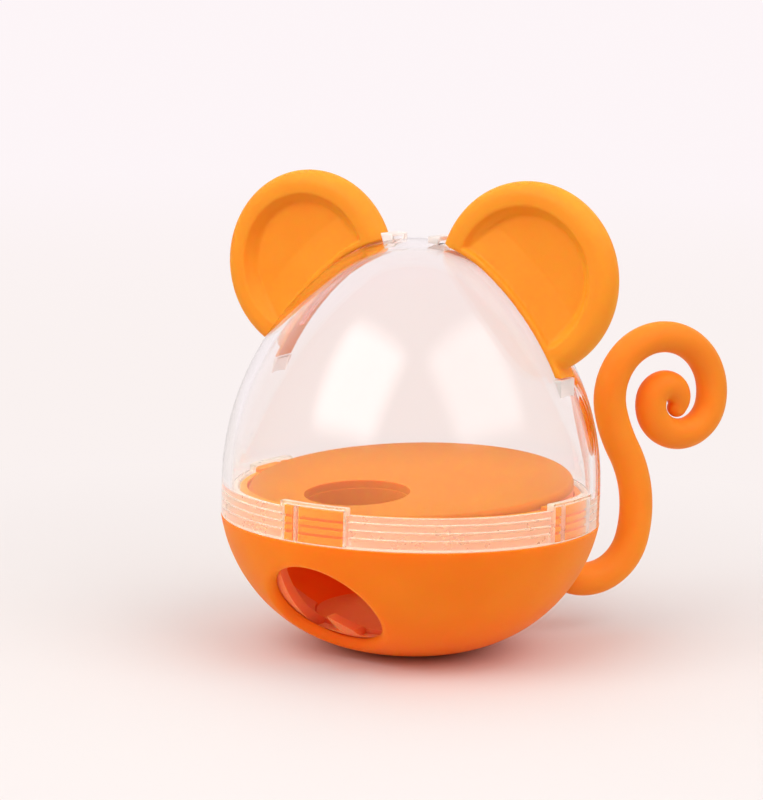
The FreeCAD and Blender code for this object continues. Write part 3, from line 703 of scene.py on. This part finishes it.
def bendRod(spot, heading, radius, turn, slimming):
    # the rod's end ring is turned about the bend's centre, step after step
    reach = radius if turn > 0 else -radius
    centre = (spot[0] - reach * math.sin(heading), spot[1] + reach * math.cos(heading))
    length = abs(math.radians(turn)) * (radius + tailShape["radius"])
    count = max(4, round(length / tailShape["segment"]))
    pace = math.radians(turn) / count
    thick = tailShape["radius"]
    for number in range(count):
        bpy.ops.mesh.spin(steps=1, angle=pace, center=(centre[0] * mm, 0, centre[1] * mm), axis=(0, 1, 0))
        heading += pace
        spot = (centre[0] + reach * math.sin(heading), centre[1] - reach * math.cos(heading))
        if slimming:
            share = ((number + 1) / count) ** 3
            slim = tailShape["radius"] - (tailShape["radius"] - tailShape["tip"]) * share
            scale = slim / thick
            thick = slim
            bpy.ops.transform.resize(value=(scale, scale, scale),
                                     center_override=(spot[0] * mm, 0, spot[1] * mm))
    return spot, heading


def roundTip(spot, heading):
    # rings that get smaller make a half ball, whose last ring is all but a point
    smallest = 0.001
    ahead = Vector((math.cos(heading), 0, math.sin(heading)))
    tip = Vector((spot[0], 0, spot[1]))
    rings = tailShape["tipRings"]
    for number in range(1, rings + 1):
        before = math.pi / 2 * (number - 1) / rings
        after = math.pi / 2 * number / rings
        step = tailShape["tip"] * (math.sin(after) - math.sin(before))
        scale = max(math.cos(after), smallest) / math.cos(before)
        bpy.ops.mesh.extrude_region_move(TRANSFORM_OT_translate={"value": ahead * step * mm})
        middle = tip + ahead * tailShape["tip"] * math.sin(after)
        bpy.ops.transform.resize(value=(scale, scale, scale), center_override=middle * mm)


def makeTail():
    dip = math.radians(tailShape["dip"])
    way = Vector((math.cos(dip), 0, -math.sin(dip)))
    root = Vector((tailShape["rootReach"], 0, tailShape["rootHeight"]))
    plugEdge = tailShape["plugEdge"]
    clearSelection()
    bpy.ops.mesh.primitive_circle_add(vertices=tailShape["sides"],
                                      radius=(tailShape["plugRadius"] - plugEdge) * mm, fill_type="TRIFAN",
                                      rotation=(0, math.pi / 2 + dip, 0),
                                      location=(root - way * tailShape["plugLength"]) * mm)
    tail = bpy.context.object
    bpy.ops.object.transform_apply(location=True, rotation=True, scale=True)
    openMesh()
    grow = tailShape["plugRadius"] / (tailShape["plugRadius"] - plugEdge)
    spread = tailShape["radius"] / tailShape["plugRadius"]
    shrink = tailShape["rootShrink"]
    steps = ((plugEdge, grow), (tailShape["plugLength"] - plugEdge + tailShape["rootGap"], 1.0),
             (0.0, spread * shrink), (tailShape["rootEdge"], 1 / shrink),
             (tailShape["run"] - tailShape["rootGap"] - tailShape["rootEdge"], 1.0))
    middle = root - way * tailShape["plugLength"]
    for length, scale in steps:
        bpy.ops.mesh.extrude_region_move(TRANSFORM_OT_translate={"value": way * length * mm})
        middle = middle + way * length
        bpy.ops.transform.resize(value=(scale, scale, scale), center_override=middle * mm)
    heading = -dip
    spot = (middle.x, middle.z)
    for radius, turn in tailShape["bends"]:
        last = (radius, turn) == tailShape["bends"][-1]  # the rod gets thinner in its last bend
        spot, heading = bendRod(spot, heading, radius, turn, last)
    roundTip(spot, heading)
    closeMesh(tail)
    for number in range(tailShape["swellSteps"]):
        top = tailShape["swellTop"] - number * tailShape["swellDrop"]
        swellBelow(tail, top, tailShape["swell"] / tailShape["swellSteps"])
    tail.rotation_euler = (0, 0, math.radians(tailShape["azimuth"]))
    pick(tail)
    bpy.ops.object.transform_apply(location=True, rotation=True, scale=True)
    dress(tail, "curlyTail", "tail_unit", ["tail"], paintedShadeTailSilicone, angle=50)


makeTail()


# Moulded parts from the frame
copyWeld = 0.001 * mm
lugShape = {"grooveTop": 0.05, "grooveFloor": 0.36, "above": 1}
gateShape = {"low": 4, "high": 27, "out": 0.2, "facing": 0.7}


def smoothCopy(node, name, body, material):
    source = frame["nodes"][node]
    pick(source)
    bpy.ops.object.duplicate()
    piece = bpy.context.object
    piece.parent = None
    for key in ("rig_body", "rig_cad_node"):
        if key in piece:
            del piece[key]
    openMesh()
    bpy.ops.mesh.remove_doubles(threshold=copyWeld)
    bpy.ops.object.mode_set(mode="OBJECT")
    bpy.ops.mesh.customdata_custom_splitnormals_clear()  # they belong to the loose triangles
    dress(piece, name, body, [node], material, angle=28)
    return piece


def paintShadeInGrooves(ring):
    # painted shade: the fine grooves across the lugs take the deeper bowl plastic, in place of the shade in
    # them
    ring.data.materials.append(orangePlastic)
    for face in ring.data.polygons:
        reach = math.hypot(face.center.x, face.center.y) / mm
        depth = pocketShape["lugRadius"] - reach
        inGroove = lugShape["grooveTop"] < depth < lugShape["grooveFloor"]
        if inGroove and face.center.z / mm > bodyShape["seam"] + lugShape["above"]:
            face.material_index = 1


def closeGap(gate):
    # the gate's outer face stands closer to the bowl, as it does when it is pressed there
    pick(gate)
    bpy.ops.object.mode_set(mode="EDIT")
    bpy.ops.mesh.select_mode(type="FACE")
    bpy.ops.mesh.select_all(action="DESELECT")
    bpy.ops.object.mode_set(mode="OBJECT")
    for face in gate.data.polygons:
        middle = face.center
        outward = Vector((middle.x, middle.y, middle.z - bodyShape["seam"] * mm)).normalized()
        beside = gateShape["low"] < middle.z / mm < gateShape["high"]
        face.select = beside and face.normal.dot(outward) > gateShape["facing"]
    bpy.ops.object.mode_set(mode="EDIT")
    bpy.ops.transform.shrink_fatten(value=gateShape["out"] * mm)
    bpy.ops.mesh.select_mode(type="VERT")
    bpy.ops.object.mode_set(mode="OBJECT")


smoothCopy("bowl", "bowlShell", "bowl_unit", orangePlastic)
paintShadeInGrooves(smoothCopy("neck_ring", "neckRing", "bowl_unit", ringPlastic))
smoothCopy("ballast_cover", "ballastCover", "bowl_unit", paintedLightInsidePlastic)
closeGap(smoothCopy("outlet_gate", "outletGate", "deck_unit", paintedLightInsidePlastic))
smoothCopy("feed_deck", "feedDeck", "deck_unit", paintedShadeDeckPlastic)
# the weight and the cover's screws lie deep inside, and their solids stay as the frame has them
for inner in ("ballast", "cover_screws"):
    node = frame["nodes"][inner]
    node.data.materials.clear()
    node.data.materials.append(zincSteel)

# Stage and light
stageLook = {"floor": (0.725, 0.682, 0.668), "far": (0.955, 0.885, 0.872), "sky": (0.985, 0.916, 0.936),
             "bounce": 1.15, "farBounce": 0.5, "fillLow": 0.12, "fillHigh": 1.08,
             "fillColour": (1.0, 0.98, 0.965), "nearEdge": 0.05, "farEdge": 0.25, "skyEdge": 2.2,
             "size": 6, "sides": 96, "drop": 0.02 * mm, "rough": 0.75, "cloudScale": 3.0, "cloud": 0.985}
lampSet = {
    "leftBox": {"turn": -108.0, "rise": 41.0, "reach": 0.85, "wide": 0.88, "tall": 0.88, "power": 7.5,
                "edge": 0.25},
    "rightBox": {"turn": -8.0, "rise": 41.0, "reach": 0.85, "wide": 0.99, "tall": 0.88, "power": 5.5,
                 "edge": 0.25},
}
lampAim = Vector((0, 0, 0.05))


def seenDirectly(tree):
    # one where the camera, a gloss or a clear piece looks at the stage, nought for plain light
    path = tree.nodes.new("ShaderNodeLightPath")
    looks = joinValues(tree, "MAXIMUM", path.outputs["Is Camera Ray"], path.outputs["Is Glossy Ray"])
    return joinValues(tree, "MAXIMUM", looks, path.outputs["Is Transmission Ray"])


def stageWorld():
    world = bpy.data.worlds.new("studio")
    bpy.context.scene.world = world
    world.use_nodes = True
    tree = world.node_tree
    tree.nodes.clear()
    fill = tree.nodes.new("ShaderNodeBackground")
    fill.inputs["Color"].default_value = (*stageLook["fillColour"], 1)
    place = tree.nodes.new("ShaderNodeTexCoord")
    split = tree.nodes.new("ShaderNodeSeparateXYZ")
    tree.links.new(place.outputs["Generated"], split.inputs["Vector"])
    rise = smoothStep(tree, split.outputs["Z"], 0.0, 1.0, stageLook["fillLow"], stageLook["fillHigh"])
    tree.links.new(rise, fill.inputs["Strength"])
    sky = tree.nodes.new("ShaderNodeBackground")
    sky.inputs["Color"].default_value = (*stageLook["sky"], 1)
    light = mixShaders(tree, seenDirectly(tree), fill.outputs["Background"], sky.outputs["Background"])
    out = tree.nodes.new("ShaderNodeOutputWorld")
    tree.links.new(light, out.inputs["Surface"])


def floorMaterial():
    material, tree, shader, place = newMaterial("paleFloor")
    shader.inputs["Roughness"].default_value = stageLook["rough"]
    cloud = noise(tree, place, stageLook["cloudScale"], detail=2.0)
    clouded = [value * stageLook["cloud"] for value in stageLook["floor"]]
    bright = tint(tree, remap(tree, cloud, 0.0, 1.0), stageLook["floor"], clouded)
    length = tree.nodes.new("ShaderNodeVectorMath")
    length.operation = "LENGTH"
    tree.links.new(place, length.inputs[0])
    distance = length.outputs["Value"]
    reach = smoothStep(tree, distance, stageLook["nearEdge"], stageLook["farEdge"])
    # the floor throws back more light beside the object than it does further away
    near = [value * stageLook["bounce"] for value in stageLook["floor"]]
    away = [value * stageLook["farBounce"] for value in stageLook["floor"]]
    path = tree.nodes.new("ShaderNodeLightPath")
    colour = tree.nodes.new("ShaderNodeMix")
    colour.data_type = "RGBA"
    tree.links.new(path.outputs["Is Diffuse Ray"], colour.inputs["Factor"])
    tree.links.new(bright, colour.inputs[6])
    tree.links.new(tint(tree, reach, near, away), colour.inputs[7])
    tree.links.new(colour.outputs[2], shader.inputs["Base Color"])
    # further out the floor glows, so that it meets the sky without an edge
    horizon = smoothStep(tree, distance, stageLook["farEdge"], stageLook["skyEdge"])
    glow = tree.nodes.new("ShaderNodeEmission")
    tree.links.new(tint(tree, horizon, stageLook["far"], stageLook["sky"]), glow.inputs["Color"])
    share = joinValues(tree, "MULTIPLY", reach, seenDirectly(tree))
    surface = mixShaders(tree, share, shader.outputs["BSDF"], glow.outputs["Emission"])
    tree.links.new(surface, tree.nodes["Material Output"].inputs["Surface"])
    return material


def stageFloor():
    clearSelection()
    bpy.ops.mesh.primitive_circle_add(vertices=stageLook["sides"], radius=stageLook["size"],
                                      fill_type="NGON", location=(0, 0, -stageLook["drop"]))
    floor = bpy.context.object
    floor.name = "studioFloor"
    floor.data.materials.append(floorMaterial())


def softEdge(light, edge):
    # the light box fades towards its four sides, over a share of its width
    light.data.use_nodes = True
    tree = light.data.node_tree
    place = tree.nodes.new("ShaderNodeNewGeometry")
    split = tree.nodes.new("ShaderNodeSeparateXYZ")
    tree.links.new(place.outputs["Parametric"], split.inputs["Vector"])
    glow = None
    for axis in ("X", "Y"):
        for dark, full in ((0.0, edge), (1.0, 1.0 - edge)):
            fade = smoothStep(tree, split.outputs[axis], dark, full)
            glow = fade if glow is None else joinValues(tree, "MULTIPLY", glow, fade)
    tree.links.new(glow, tree.nodes["Emission"].inputs["Strength"])


def addLamps():
    for name, lamp in lampSet.items():
        turn = math.radians(lamp["turn"])
        rise = math.radians(lamp["rise"])
        away = Vector((math.cos(turn) * math.cos(rise), math.sin(turn) * math.cos(rise), math.sin(rise)))
        bpy.ops.object.light_add(type="AREA", location=lampAim + away * lamp["reach"])
        light = bpy.context.object
        light.name = name
        light.rotation_euler = away.to_track_quat("Z", "Y").to_euler()
        light.data.shape = "RECTANGLE"
        light.data.size = lamp["wide"]
        light.data.size_y = lamp["tall"]
        light.data.energy = lamp["power"]
        softEdge(light, lamp["edge"])


stageWorld()
stageFloor()
addLamps()
bpy.context.scene.view_settings.view_transform = "Standard"
print("stage ready")
